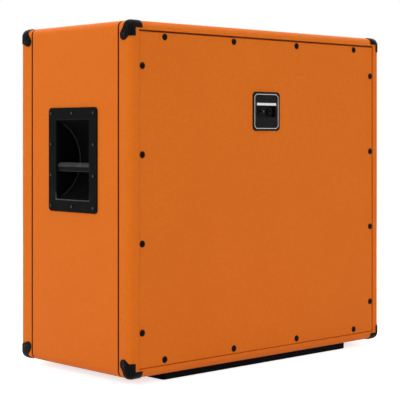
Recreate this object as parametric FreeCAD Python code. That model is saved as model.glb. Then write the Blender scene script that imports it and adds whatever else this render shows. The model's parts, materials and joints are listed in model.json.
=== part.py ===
"""Closed-back guitar speaker cabinet with four 12-inch drivers.

Millimetres. +Z is up, the grille faces -Y and the rear panel faces +Y.
The origin is under the middle of the cabinet, where the skids meet the floor.
"""
import FreeCAD
import Part
import math
import os
from FreeCAD import Placement, Rotation, Vector

# Drivers, and the room round them that sets the inside of the cabinet
DRIVER_OD = 309.0
DRIVER_GAP_X = 35.0
DRIVER_GAP_Z = 17.0
DRIVER_SIDE_GAP = 19.2
DRIVER_END_GAP = 3.2

# Box: boards, their covering and the rounding of every outer edge
SIDE_BOARD = 23.5
TOP_BOARD = 17.0
COVERING = 0.8
BOX_DEPTH = 374.0
EDGE_R = 15.0
SEAM_W = 5.0
SEAM_DEPTH = 3.0
SEAM_FROM_FRONT = 45.5
SEAM_FROM_REAR = 34.9

# Battens inside the box that carry the baffle and the rear panel
BATTEN_W = 20.0
BATTEN_DEPTH = 25.0
REAR_RAIL_W = 25.8

# Rear panel with its screws in cup washers
PANEL = 15.0
PANEL_RECESS = 1.2
PANEL_GAP_SIDE = 2.0
PANEL_GAP_TOP = 3.2
PANEL_GAP_BOTTOM = 0.9
PANEL_EDGE_R = 2.5
PANEL_SCREW_PITCH_X = 197.2
PANEL_SCREW_PITCH_Z = 178.4
PANEL_SCREW_COUNT = 4
PANEL_SCREW_R = 2.2
PANEL_SCREW_L = 34.0
CUP_FLARE = 2.3
CUP_RIM = 0.6
CUP_SHOULDER = 0.7
CUP_H = 1.6
CUP_MOUTH_R = 4.7
CUP_BORE_R = 3.2
OVAL_RISE = 1.0
SCREW_CLEAR = 0.1

# Front: grille frame, cloth and piping before the baffle
GRILLE_RECESS = 6.0
CLOTH = 1.0
GRILLE_FRAME = 15.0
GRILLE_BAR_W = 35.0
GRILLE_MID_BAR_W = 30.0
GRILLE_CLEAR = 1.5
PIPING_R = 2.2
BAFFLE = 18.0
BAFFLE_CLEAR = 0.4
BAFFLE_SCREW_INSET = 60.0
POST_W = 45.0

# Skids under the front and rear edges
SKID_H = 15.0
SKID_L = 570.0
SKID_W = 60.0
SKID_INSET = 17.7
SKID_END_R = 8.0
SKID_FOOT_R = 2.5
SKID_SCREW_PITCH = 220.0
SKID_SCREW_SINK = 7.0

# Recessed bar handles in both sides
HANDLE_DROP = 281.8
HANDLE_REARWARD = 4.0
HANDLE_RIM_W = 26.0
HANDLE_RIM_H = 25.75
HANDLE_CORNER_R = 8.5
HANDLE_FLANGE = 3.0
HANDLE_RIM_R = 1.2
DISH_W = 112.0
DISH_H = 167.0
DISH_DEPTH = 65.0
DISH_WALL = 2.5
DISH_ROOT_R = 3.0
DISH_LIP_R = 1.6
DISH_CLEAR = 1.5
BAR_R = 9.5
BAR_SINK = 14.0
BAR_DROP = 13.7
HANDLE_SCREW_INSET_Y = 10.0
HANDLE_SCREW_INSET_Z = 11.75
HANDLE_SCREW_ROWS = 4

# Corner caps: a lobed leg on the side, a tapered leg along the top and a lip round the front or rear
CAP = 1.5
CAP_SEAT = 0.6
CAP_LOBE_IN = 18.0
CAP_LOBE_DOWN = 27.5
CAP_LOBE_R = 10.5
CAP_WAIST = 17.0
CAP_SHOULDER = 15.0
CAP_LIP_H = 8.5
CAP_LIP_W = 15.0
CAP_ARM_X = 33.5
CAP_ARM_Z = 29.5
CAP_ARM_STEP = 5.5
CAP_TIP_R = 3.0
CAP_NOTCH_R = 5.0

# Small pan-head screws in handles, caps, skids, baffle and jack plate
PAN_HEAD_R = 4.2
PAN_HEAD_H = 2.2
PAN_SHANK_R = 2.0
PAN_SHANK_L = 17.0
SMALL_HEAD_R = 2.8
SMALL_HEAD_H = 0.8
SMALL_SHANK_R = 1.5
SMALL_SHANK_L = 13.0

# Jack plate with a sunk tray for two 6.35 mm jack sockets
JACK_DROP = 178.5
JACK_W = 84.0
JACK_H = 85.0
JACK_CORNER_R = 8.5
JACK_PLATE = 1.8
TRAY_W = 58.0
TRAY_H = 25.0
TRAY_DEPTH = 9.0
TRAY_WALL = 2.0
TRAY_CLEAR = 1.0
JACK_PITCH = 30.0
JACK_BORE_R = 3.25
JACK_BUSH_R = 5.8
JACK_BUSH_OUT = 4.5
JACK_BODY_W = 24.0
JACK_BODY_H = 21.0
JACK_BODY_L = 28.0
JACK_BODY_END = 2.0
JACK_NUT_AF = 15.0
JACK_NUT_H = 2.6
JACK_SCREW_INSET = 11.0

# Driver, measured inwards from its rim and rearwards from the baffle
GASKET = 3.0
GASKET_W = 11.5
FRAME_STEEL = 1.6
FLANGE_W = 17.5
CUTOUT_RIM = 13.0
BOLT_INSET = 6.0
BOLT_R = 2.5
BOLT_HEAD_R = 5.0
BOLT_HEAD_H = 3.0
BOLT_STICK_OUT = 2.0
BOLTS_EACH = 4
NUT_AF = 8.0
NUT_H = 4.0
LANDING_DEPTH = 80.8
BASKET_TAIL = 11.2
LANDING_R = 60.0
LANDING_W = 11.0
BASKET_STEP = 7.0
WINDOWS = 8
ARM_DEG = 12.0
WINDOW_RIM = 12.0
SURROUND = 1.0
SURROUND_W = 13.5
SURROUND_ROLL = 2.4
CONE = 1.3
NECK_TO_LANDING = 10.8
CONE_BULGE = 4.0
CONE_GAP = 0.35
POLE_R = 21.6
COIL_GAP = 0.6
FORMER = 0.7
WINDING = 0.4
WINDING_L = 16.0
FORMER_INTO_NECK = 4.0
FORMER_PAST_PLATE = 8.0
PLATE_GAP = 0.4
TOP_PLATE = 7.0
TOP_PLATE_R = 70.0
MAGNET = 25.0
MAGNET_R = 78.0
MAGNET_BORE_R = 32.0
YOKE = 7.0
SPIDER = 0.8
SPIDER_WAVE = 1.4
SPIDER_WAVES = 4
DUST_CAP_R = 34.0
DUST_CAP_RISE = 12.0
DUST_CAP = 0.9
TAG_W = 24.0
TAG_T = 2.0

# Positions that follow from the sizes above
DRIVER_R = DRIVER_OD / 2
DRIVER_X = DRIVER_R + DRIVER_GAP_X / 2
DRIVER_Z = DRIVER_R + DRIVER_GAP_Z / 2
IN_X = DRIVER_X + DRIVER_R + DRIVER_SIDE_GAP + BATTEN_W
IN_Z = DRIVER_Z + DRIVER_R + DRIVER_END_GAP + BATTEN_W
HALF_X = IN_X + SIDE_BOARD + COVERING
HALF_Y = BOX_DEPTH / 2
HALF_Z = IN_Z + TOP_BOARD + COVERING
MID_Z = SKID_H + HALF_Z
TOP_Z = MID_Z + HALF_Z
LIP_X = IN_X - COVERING
LIP_Z = IN_Z - COVERING

PANEL_OUT = HALF_Y - PANEL_RECESS
PANEL_IN = PANEL_OUT - COVERING - PANEL
CLOTH_FRONT = GRILLE_RECESS - HALF_Y
FRAME_FRONT = CLOTH_FRONT + CLOTH
BAFFLE_FRONT = FRAME_FRONT + GRILLE_FRAME
BAFFLE_REAR = BAFFLE_FRONT + BAFFLE
SEAM_FRONT = SEAM_FROM_FRONT - HALF_Y
SEAM_REAR = HALF_Y - SEAM_FROM_REAR
HANDLE_Z = TOP_Z - HANDLE_DROP
HANDLE_W = DISH_W + 2 * HANDLE_RIM_W
HANDLE_H = DISH_H + 2 * HANDLE_RIM_H
HANDLE_SCREW_X = HANDLE_W / 2 - HANDLE_SCREW_INSET_Y
HANDLE_SCREW_PITCH = (HANDLE_H - 2 * HANDLE_SCREW_INSET_Z) / (HANDLE_SCREW_ROWS - 1)
CUP_R = CUP_MOUTH_R + CUP_FLARE
BASKET_DEPTH = LANDING_DEPTH + BASKET_TAIL
CONE_NECK_DEPTH = LANDING_DEPTH - NECK_TO_LANDING
FORMER_START = CONE_NECK_DEPTH - FORMER_INTO_NECK
FLANGE_OUT = HALF_X + HANDLE_FLANGE
JACK_Z = TOP_Z - JACK_DROP
JACK_FACE = PANEL_OUT + JACK_PLATE
TRAY_FLOOR = JACK_FACE - TRAY_DEPTH
DRIVER_CENTRES = [
    (side * DRIVER_X, MID_Z + level * DRIVER_Z)
    for level in (1, -1)
    for side in (1, -1)
]
FAR = 1000.0
CUT = 1.0


def box(x0, x1, y0, y1, z0, z1):
    return Part.makeBox(x1 - x0, y1 - y0, z1 - z0, Vector(x0, y0, z0))


def tunnel(half_x, half_z, y0, y1):
    """Block centred on the cabinet's front-to-rear axis."""
    return box(-half_x, half_x, y0, y1, MID_Z - half_z, MID_Z + half_z)


def round_edges(solid, direction, radius):
    """Fillet the straight edges that run along one direction."""
    edges = [
        e
        for e in solid.Edges
        if len(e.Vertexes) == 2
        and e.tangentAt(e.FirstParameter).cross(direction).Length < 1e-6
    ]
    return solid.makeFillet(radius, edges)


def round_rim(solid, axis, place, radius):
    """Fillet the edges that lie flat in one plane across an axis."""
    edges = [
        e
        for e in solid.Edges
        if abs(e.BoundBox.getPoint(0).dot(axis) - place) < 1e-6
        and abs(e.BoundBox.getPoint(6).dot(axis) - place) < 1e-6
    ]
    return solid.makeFillet(radius, edges)


def rounded_block(grow):
    """The whole box with all its edges rounded, grown or shrunk evenly."""
    block = tunnel(HALF_X + grow, HALF_Z + grow, -HALF_Y - grow, HALF_Y + grow)
    return block.makeFillet(EDGE_R + grow, block.Edges)


def rod(start, axis, radius, length):
    return Part.makeCylinder(radius, length, start, axis)


def hex_prism(start, axis, across_flats, length):
    corner = across_flats / math.sqrt(3)
    points = [
        Vector(corner * math.cos(math.radians(60 * i)), corner * math.sin(math.radians(60 * i)), 0)
        for i in range(7)
    ]
    prism = Part.Face(Part.makePolygon(points)).extrude(Vector(0, 0, length))
    prism.Placement = Placement(start, Rotation(Vector(0, 0, 1), axis))
    return prism


def spun(edges_or_points, y, x=0.0, z=0.0):
    """Solid of revolution about a front-to-rear axis from a (radius, depth) profile."""
    edges = edges_or_points
    if isinstance(edges[0], tuple):
        points = [Vector(r, d, 0) for r, d in edges]
        edges = Part.makePolygon(points + points[:1]).Edges
    face = Part.Face(Part.Wire(edges))
    solid = face.revolve(Vector(0, 0, 0), Vector(0, 1, 0), 360)
    solid.translate(Vector(x, y, z))
    return solid


def dome(radius, base, crest):
    """Three points of a ball-shaped dome from its rim to its crest on the axis."""
    rise = crest - base
    ball = (radius**2 + rise**2) / (2 * rise)
    half = math.asin(radius / abs(ball)) / 2
    middle = (abs(ball) * math.sin(half), crest - ball * (1 - math.cos(half)))
    return [(radius, base), middle, (0.0, crest)]


def turned(points, cap):
    """Solid turned about +Z from (radius, height) points closed by a dome at the top."""
    line = Part.makePolygon([Vector(r, 0, h) for r, h in points])
    arc = Part.Arc(*[Vector(r, 0, h) for r, h in cap]).toShape()
    face = Part.Face(Part.Wire(Part.__sortEdges__(line.Edges + [arc])))
    return face.revolve(Vector(0, 0, 0), Vector(0, 0, 1), 360)


def pan_screw(head_r, head_h, shank_r, shank_l):
    """Domed screw standing along +Z with the underside of its head at zero."""
    rim = head_h * 0.3
    points = [(0, head_h), (0, -shank_l), (shank_r, -shank_l), (shank_r, 0), (head_r, 0), (head_r, rim)]
    return turned(points, dome(head_r, rim, head_h))


def placed(solid, spots):
    """Copies of a +Z solid at (point, axis) spots."""
    copies = []
    for point, axis in spots:
        copy = solid.copy()
        copy.Placement = Placement(point, Rotation(Vector(0, 0, 1), axis))
        copies.append(copy)
    return copies


def shank_holes(spots, radius, length):
    """Clearance holes for screws whose heads sit at the given spots."""
    return [
        rod(point + axis * CUT, axis * -1, radius + SCREW_CLEAR, length + 2 * CUT)
        for point, axis in spots
    ]


def four_ways(solid):
    """Mirror a solid into the four corners seen from the front."""
    right = [solid, solid.mirror(Vector(0, 0, MID_Z), Vector(0, 0, 1))]
    return right + [s.mirror(Vector(0, 0, 0), Vector(1, 0, 0)) for s in right]


def both_sides(solids):
    return solids + [s.mirror(Vector(0, 0, 0), Vector(1, 0, 0)) for s in solids]


def spread(count, pitch):
    return [(i - (count - 1) / 2) * pitch for i in range(count)]


X, Y, Z = Vector(1, 0, 0), Vector(0, 1, 0), Vector(0, 0, 1)
nodes = {}

# Where the screws go: the point under each head and the way the head faces
panel_spots = [
    (Vector(x, PANEL_OUT, MID_Z + side * (IN_Z - REAR_RAIL_W / 2)), Y)
    for side in (1, -1)
    for x in spread(PANEL_SCREW_COUNT, PANEL_SCREW_PITCH_X)
] + [
    (Vector(side * (IN_X - BATTEN_W / 2), PANEL_OUT, MID_Z + z), Y)
    for side in (1, -1)
    for z in spread(PANEL_SCREW_COUNT, PANEL_SCREW_PITCH_Z)
]
handle_grid = [
    (y, z)
    for y in (HANDLE_SCREW_X, -HANDLE_SCREW_X)
    for z in spread(HANDLE_SCREW_ROWS, HANDLE_SCREW_PITCH)
] + [(0.0, side * (HANDLE_SCREW_ROWS - 1) / 2 * HANDLE_SCREW_PITCH) for side in (1, -1)]
handle_spots = [
    (Vector(side * FLANGE_OUT, HANDLE_REARWARD + y, HANDLE_Z + z), X * side)
    for side in (1, -1)
    for y, z in handle_grid
]
cap_spots = [
    (
        Vector(
            side * (HALF_X + CAP_SEAT),
            end * (HALF_Y - CAP_LOBE_IN),
            MID_Z + level * (HALF_Z - CAP_LOBE_DOWN),
        ),
        X * side,
    )
    for side in (1, -1)
    for end in (1, -1)
    for level in (1, -1)
]
skid_y = HALF_Y - SKID_INSET - SKID_W / 2
skid_spots = [
    (Vector(x, end * skid_y, SKID_SCREW_SINK), Z * -1)
    for end in (1, -1)
    for x in spread(3, SKID_SCREW_PITCH)
]
baffle_sink = PAN_HEAD_H + CUT
baffle_spots = [
    (Vector(x, BAFFLE_FRONT + baffle_sink, MID_Z + side * (IN_Z - BATTEN_W / 2)), Y * -1)
    for side in (1, -1)
    for x in (BAFFLE_SCREW_INSET - IN_X, 0.0, IN_X - BAFFLE_SCREW_INSET)
] + [
    (Vector(side * (IN_X - BATTEN_W / 2), BAFFLE_FRONT + baffle_sink, MID_Z + z), Y * -1)
    for side in (1, -1)
    for z in (BAFFLE_SCREW_INSET - IN_Z, 0.0, IN_Z - BAFFLE_SCREW_INSET)
]

pan = pan_screw(PAN_HEAD_R, PAN_HEAD_H, PAN_SHANK_R, PAN_SHANK_L)
small = pan_screw(SMALL_HEAD_R, SMALL_HEAD_H, SMALL_SHANK_R, SMALL_SHANK_L)
handle_holes = shank_holes(handle_spots, PAN_SHANK_R, PAN_SHANK_L)
cap_holes = shank_holes(cap_spots, SMALL_SHANK_R, SMALL_SHANK_L)
cap_sinks = [rod(p, a, SMALL_HEAD_R + 4 * SCREW_CLEAR, CAP + CUT) for p, a in cap_spots]
skid_holes = shank_holes(skid_spots, PAN_SHANK_R, PAN_SHANK_L)
baffle_holes = shank_holes(baffle_spots, PAN_SHANK_R, PAN_SHANK_L)
panel_holes = shank_holes(panel_spots, PANEL_SCREW_R, PANEL_SCREW_L)
panel_bores = [rod(p + Y * CUT, Y * -1, CUP_BORE_R, PANEL + COVERING + 2 * CUT) for p, a in panel_spots]

# Handle openings through the sides
half_cut_y = DISH_W / 2 + DISH_WALL + DISH_CLEAR
half_cut_z = DISH_H / 2 + DISH_WALL + DISH_CLEAR
handle_cut = box(
    -FAR,
    FAR,
    HANDLE_REARWARD - half_cut_y,
    HANDLE_REARWARD + half_cut_y,
    HANDLE_Z - half_cut_z,
    HANDLE_Z + half_cut_z,
)

# Box: rounded outside, square tunnel inside, two seam grooves round it
outside = rounded_block(0)
wood = rounded_block(-COVERING).cut(tunnel(IN_X, IN_Z, -FAR, FAR))
skin = outside.cut(wood).cut(
    [
        tunnel(LIP_X, LIP_Z, -FAR, FAR),
        tunnel(IN_X, IN_Z, BAFFLE_FRONT, PANEL_IN),
    ]
)
seam_bed = COVERING + SEAM_DEPTH
seam_core = round_edges(
    tunnel(HALF_X - seam_bed, HALF_Z - seam_bed, -HALF_Y, HALF_Y), Y, EDGE_R - seam_bed
)
seams = [
    tunnel(HALF_X + CUT, HALF_Z + CUT, y - SEAM_W / 2, y + SEAM_W / 2).cut(seam_core)
    for y in (SEAM_FRONT, SEAM_REAR)
]
box_holes = handle_holes + cap_holes + skid_holes
wood = wood.cut(seams + box_holes + [handle_cut])
skin = skin.cut(seams + box_holes + [handle_cut])

nodes["side_board_right"] = wood.common(box(IN_X, FAR, -FAR, FAR, -FAR, FAR))
nodes["side_board_left"] = wood.common(box(-FAR, -IN_X, -FAR, FAR, -FAR, FAR))
nodes["top_board"] = wood.common(box(-IN_X, IN_X, -FAR, FAR, MID_Z, FAR))
nodes["bottom_board"] = wood.common(box(-IN_X, IN_X, -FAR, FAR, -FAR, MID_Z))
nodes["covering_front"] = skin.common(box(-FAR, FAR, -FAR, SEAM_FRONT, -FAR, FAR))
nodes["covering_middle"] = skin.common(box(-FAR, FAR, SEAM_FRONT, SEAM_REAR, -FAR, FAR))
nodes["covering_rear"] = skin.common(box(-FAR, FAR, SEAM_REAR, FAR, -FAR, FAR))


def batten_ring(y0, y1, side_w, rail_w, holes):
    """Two rails across the box and two uprights between them."""
    pieces = []
    for side in (1, -1):
        edge = sorted((MID_Z + side * IN_Z, MID_Z + side * (IN_Z - rail_w)))
        pieces.append(box(-IN_X, IN_X, y0, y1, edge[0], edge[1]))
        edge = sorted((side * IN_X, side * (IN_X - side_w)))
        pieces.append(box(edge[0], edge[1], y0, y1, MID_Z - IN_Z + rail_w, MID_Z + IN_Z - rail_w))
    return Part.makeCompound([p.cut(holes) for p in pieces])


nodes["rear_battens"] = batten_ring(
    PANEL_IN - BATTEN_DEPTH, PANEL_IN, BATTEN_W, REAR_RAIL_W, panel_holes
)
nodes["baffle_battens"] = batten_ring(
    BAFFLE_REAR, BAFFLE_REAR + BATTEN_DEPTH, BATTEN_W, BATTEN_W, baffle_holes
)
nodes["centre_post"] = round_edges(
    tunnel(POST_W / 2, POST_W / 2, BAFFLE_REAR, PANEL_IN), Y, EDGE_R / 4
)


# Rear panel, its covering wrapped over the edges, its screws and cup washers
def panel_block(shrink):
    """Panel with its outer rim rounded, low in its opening, shrunk evenly off the outside."""
    half_x = LIP_X - PANEL_GAP_SIDE - shrink
    low = MID_Z - LIP_Z + PANEL_GAP_BOTTOM + shrink
    high = MID_Z + LIP_Z - PANEL_GAP_TOP - shrink
    block = box(-half_x, half_x, PANEL_IN, PANEL_OUT - shrink, low, high)
    return round_rim(block, Y, PANEL_OUT - shrink, PANEL_EDGE_R - shrink)


panel_wrap = panel_block(0)
panel = panel_block(COVERING)
tray_out_x = TRAY_W / 2 + TRAY_WALL
tray_out_z = TRAY_H / 2 + TRAY_WALL
jack_corner_spots = [
    (
        Vector(sx * (JACK_W / 2 - JACK_SCREW_INSET), JACK_FACE, JACK_Z + sz * (JACK_H / 2 - JACK_SCREW_INSET)),
        Y,
    )
    for sx in (1, -1)
    for sz in (1, -1)
]
jack_centre_spot = (Vector(0, TRAY_FLOOR, JACK_Z), Y)
jack_holes = shank_holes(jack_corner_spots + [jack_centre_spot], SMALL_SHANK_R, SMALL_SHANK_L)
jack_cut = box(
    -tray_out_x - TRAY_CLEAR,
    tray_out_x + TRAY_CLEAR,
    PANEL_IN - CUT,
    FAR,
    JACK_Z - tray_out_z - TRAY_CLEAR,
    JACK_Z + tray_out_z + TRAY_CLEAR,
)
nodes["rear_panel_covering"] = panel_wrap.cut(panel).cut(panel_bores + jack_holes + [jack_cut])
nodes["rear_panel"] = panel.cut(panel_bores + jack_holes + [jack_cut])

cup = Part.Face(
    Part.makePolygon(
        [
            Vector(r, 0, h)
            for r, h in (
                (CUP_BORE_R, 0),
                (CUP_R, 0),
                (CUP_R - CUP_SHOULDER, CUP_H * 0.7),
                (CUP_MOUTH_R + CUP_RIM, CUP_H),
                (CUP_MOUTH_R, CUP_H),
                (CUP_BORE_R, 0),
            )
        ]
    )
).revolve(Vector(0, 0, 0), Z, 360)
sink_slope = (CUP_MOUTH_R - CUP_BORE_R) / CUP_H
sink_r = CUP_MOUTH_R - 2 * SCREW_CLEAR
sink_end = CUP_H - (sink_r - PANEL_SCREW_R) / sink_slope
oval_crest = CUP_H + OVAL_RISE
oval_tip = CUP_H - PANEL_SCREW_L
oval = turned(
    [
        (0, oval_crest),
        (0, oval_tip),
        (PANEL_SCREW_R, oval_tip),
        (PANEL_SCREW_R, sink_end),
        (sink_r, CUP_H),
    ],
    dome(sink_r, CUP_H, oval_crest),
)
nodes["rear_panel_screws"] = Part.makeCompound(placed(oval, panel_spots))
nodes["rear_panel_cup_washers"] = Part.makeCompound(placed(cup, panel_spots))

# Jack plate with its tray, two sockets and their nuts
jack_plate = round_edges(
    box(-JACK_W / 2, JACK_W / 2, PANEL_OUT, JACK_FACE, JACK_Z - JACK_H / 2, JACK_Z + JACK_H / 2),
    Y,
    JACK_CORNER_R,
)
jack_plate = round_rim(jack_plate, Y, JACK_FACE, JACK_PLATE / 4)
tray = box(
    -tray_out_x,
    tray_out_x,
    TRAY_FLOOR - TRAY_WALL,
    PANEL_OUT + JACK_PLATE / 2,
    JACK_Z - tray_out_z,
    JACK_Z + tray_out_z,
)
tray_hollow = round_edges(
    box(
        -TRAY_W / 2,
        TRAY_W / 2,
        TRAY_FLOOR,
        JACK_FACE + CUT,
        JACK_Z - TRAY_H / 2,
        JACK_Z + TRAY_H / 2,
    ),
    Y,
    TRAY_WALL,
)
jack_spots = [Vector(x, TRAY_FLOOR, JACK_Z) for x in spread(2, JACK_PITCH)]
bush_r = JACK_BUSH_R + SCREW_CLEAR
bush_holes = [rod(p - Y * (TRAY_WALL + CUT), Y, bush_r, TRAY_WALL + 2 * CUT) for p in jack_spots]
nodes["jack_plate"] = jack_plate.fuse(tray).cut([tray_hollow] + bush_holes + jack_holes)
nodes["jack_plate_screws"] = Part.makeCompound(placed(small, jack_corner_spots + [jack_centre_spot]))


def jack_socket(spot):
    back = TRAY_FLOOR - TRAY_WALL - JACK_BODY_L
    body = round_edges(
        box(
            spot.x - JACK_BODY_W / 2,
            spot.x + JACK_BODY_W / 2,
            back,
            TRAY_FLOOR - TRAY_WALL,
            spot.z - JACK_BODY_H / 2,
            spot.z + JACK_BODY_H / 2,
        ),
        Y,
        TRAY_WALL,
    )
    bush = rod(spot - Y * (TRAY_WALL + CUT), Y, JACK_BUSH_R, TRAY_WALL + CUT + JACK_BUSH_OUT)
    length = JACK_BUSH_OUT + TRAY_WALL + JACK_BODY_L - JACK_BODY_END
    bore = rod(spot + Y * JACK_BUSH_OUT, Y * -1, JACK_BORE_R, length)
    return body.fuse(bush).cut(bore).removeSplitter()


nodes["jack_socket_left"] = jack_socket(jack_spots[0])
nodes["jack_socket_right"] = jack_socket(jack_spots[1])
nodes["jack_nuts"] = Part.makeCompound(
    [
        hex_prism(p, Y, JACK_NUT_AF, JACK_NUT_H).cut(rod(p - Y * CUT, Y, bush_r, JACK_NUT_H + 2 * CUT))
        for p in jack_spots
    ]
)

# Front: baffle with four cut-outs, grille frame, cloth and piping
cutout_r = DRIVER_R - CUTOUT_RIM
bolt_circle = DRIVER_R - BOLT_INSET
bolt_angles = [math.radians((i + 0.5) * 360 / BOLTS_EACH) for i in range(BOLTS_EACH)]
bolt_spots = [
    (Vector(x + bolt_circle * math.cos(a), BAFFLE_FRONT, z + bolt_circle * math.sin(a)), Y * -1)
    for x, z in DRIVER_CENTRES
    for a in bolt_angles
]
bolt_length = BAFFLE + GASKET + FRAME_STEEL + NUT_H + BOLT_STICK_OUT
bolt_holes = shank_holes(bolt_spots, BOLT_R, bolt_length)
baffle_counterbores = [
    rod(p + Y * 0, Y * -1, PAN_HEAD_R + 4 * SCREW_CLEAR, baffle_sink + CUT) for p, a in baffle_spots
]
nodes["baffle"] = tunnel(IN_X - BAFFLE_CLEAR, IN_Z - BAFFLE_CLEAR, BAFFLE_FRONT, BAFFLE_REAR).cut(
    [rod(Vector(x, BAFFLE_FRONT - CUT, z), Y, cutout_r, BAFFLE + 2 * CUT) for x, z in DRIVER_CENTRES]
    + bolt_holes
    + baffle_holes
    + baffle_counterbores
)
nodes["baffle_screws"] = Part.makeCompound(placed(pan, baffle_spots))

grille_x = LIP_X - GRILLE_CLEAR
grille_z = LIP_Z - GRILLE_CLEAR
window_x = [GRILLE_MID_BAR_W / 2, grille_x - GRILLE_BAR_W]
window_z = [GRILLE_MID_BAR_W / 2, grille_z - GRILLE_BAR_W]
window = round_edges(
    box(
        window_x[0],
        window_x[1],
        FRAME_FRONT - CUT,
        BAFFLE_FRONT + CUT,
        MID_Z + window_z[0],
        MID_Z + window_z[1],
    ),
    Y,
    EDGE_R,
)
nodes["grille_frame"] = tunnel(grille_x, grille_z, FRAME_FRONT, BAFFLE_FRONT).cut(four_ways(window))
nodes["grille_cloth"] = tunnel(grille_x, grille_z, CLOTH_FRONT, FRAME_FRONT)


def piping_ring():
    """Round cord laid into the corner between the cloth and the lip."""
    gap = SCREW_CLEAR / 2
    half_x = LIP_X - PIPING_R - gap
    half_z = LIP_Z - PIPING_R - gap
    bend = EDGE_R / 2
    path = round_edges(tunnel(half_x, half_z, 0, 1), Y, bend)
    loop = [f for f in path.Faces if f.normalAt(0, 0).y < -0.9][0].OuterWire
    loop.translate(Vector(0, CLOTH_FRONT - PIPING_R - gap, 0))
    start = Vector(0, CLOTH_FRONT - PIPING_R - gap, MID_Z + half_z)
    ring = Part.Wire(Part.makeCircle(PIPING_R, start, X))
    return loop.makePipeShell([ring], True, False)


nodes["grille_piping"] = piping_ring()

# Skids with sunk screws
skid_sinks = [
    rod(Vector(p.x, p.y, -CUT), Z, PAN_HEAD_R + 4 * SCREW_CLEAR, SKID_SCREW_SINK + CUT)
    for p, a in skid_spots
]
skid = box(-SKID_L / 2, SKID_L / 2, -SKID_W / 2, SKID_W / 2, 0, SKID_H)
skid = round_edges(skid, Z, SKID_END_R)
skid = round_rim(skid, Z, 0, SKID_FOOT_R)
for name, end in (("skid_rear", 1), ("skid_front", -1)):
    nodes[name] = skid.translated(Vector(0, end * skid_y, 0)).cut(skid_sinks + skid_holes)
nodes["skid_screws"] = Part.makeCompound(placed(pan, skid_spots))

# Handles: flanged dish with an arc-shaped trough and a bar across it
arc_r = ((DISH_H / 2) ** 2 + DISH_DEPTH**2) / (2 * DISH_DEPTH)
arc_x = FLANGE_OUT - DISH_DEPTH + arc_r
flange = box(
    HALF_X,
    FLANGE_OUT,
    HANDLE_REARWARD - HANDLE_W / 2,
    HANDLE_REARWARD + HANDLE_W / 2,
    HANDLE_Z - HANDLE_H / 2,
    HANDLE_Z + HANDLE_H / 2,
)
flange = round_edges(flange, X, HANDLE_CORNER_R)
flange = round_rim(flange, X, FLANGE_OUT, HANDLE_RIM_R)
trough_half = DISH_W / 2 + DISH_WALL
trough_at = Vector(arc_x, HANDLE_REARWARD - trough_half, HANDLE_Z)
trough = rod(trough_at, Y, arc_r + DISH_WALL, 2 * trough_half)
trough = trough.common(box(0, FLANGE_OUT - HANDLE_FLANGE / 2, -FAR, FAR, -FAR, FAR))
trough_hollow = rod(trough_at + Y * DISH_WALL, Y, arc_r, DISH_W)
for end in (-1, 1):
    trough_hollow = round_rim(trough_hollow, Y, HANDLE_REARWARD + end * DISH_W / 2, DISH_ROOT_R)
dish = flange.fuse(trough).cut([trough_hollow] + handle_holes).removeSplitter()
mouth = [
    e
    for e in dish.Edges
    if abs(e.BoundBox.XMin - FLANGE_OUT) < 1e-6
    and abs(e.BoundBox.XMax - FLANGE_OUT) < 1e-6
    and abs(e.CenterOfMass.y - HANDLE_REARWARD) < DISH_W / 2 + CUT
    and abs(e.CenterOfMass.z - HANDLE_Z) < DISH_H / 2 + CUT
]
dish = dish.makeFillet(DISH_LIP_R, mouth)
bar_at = Vector(FLANGE_OUT - BAR_SINK, HANDLE_REARWARD - DISH_W / 2, HANDLE_Z - BAR_DROP)
bar = rod(bar_at, Y, BAR_R, DISH_W)
nodes["handle_dish_right"], nodes["handle_dish_left"] = both_sides([dish])
nodes["handle_bar_right"], nodes["handle_bar_left"] = both_sides([bar])
nodes["handle_screws"] = Part.makeCompound(placed(pan, handle_spots))


# Corner caps: the proud shell of the rounded corner inside three outlines
def tangent_point(start, centre, radius, turn):
    """Where the line from a point touches a circle, on the chosen side."""
    away = (start[0] - centre[0], start[1] - centre[1])
    angle = math.atan2(away[1], away[0]) + turn * math.acos(radius / math.hypot(*away))
    return (centre[0] + radius * math.cos(angle), centre[1] + radius * math.sin(angle)), angle


def tapered_leg(arm):
    """Leg outline in (inwards from the rear, away from the edge) that narrows to its tip."""
    rim = -2 * CAP
    return [
        (
            "line",
            (rim, arm),
            (rim, rim),
            (CAP_WAIST, rim),
            (CAP_WAIST, CAP_SHOULDER),
            (CAP_ARM_STEP, arm),
            (rim, arm),
        )
    ]


def lobed_leg(arm):
    """Leg outline in (inwards from the rear, away from the edge) ending in a round lobe."""
    rim = -2 * CAP
    centre = (CAP_LOBE_IN, CAP_LOBE_DOWN)
    heel = (CAP_ARM_STEP, arm)
    first, angle_1 = tangent_point((CAP_WAIST, rim), centre, CAP_LOBE_R, 1)
    last, angle_2 = tangent_point(heel, centre, CAP_LOBE_R, -1)
    middle = (angle_1 + angle_2) / 2
    crest = (centre[0] + CAP_LOBE_R * math.cos(middle), centre[1] + CAP_LOBE_R * math.sin(middle))
    return [("line", (rim, arm), (rim, rim), (CAP_WAIST, rim), first)] + [
        ("arc", first, crest, last),
        ("line", last, heel, (rim, arm)),
    ]


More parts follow.
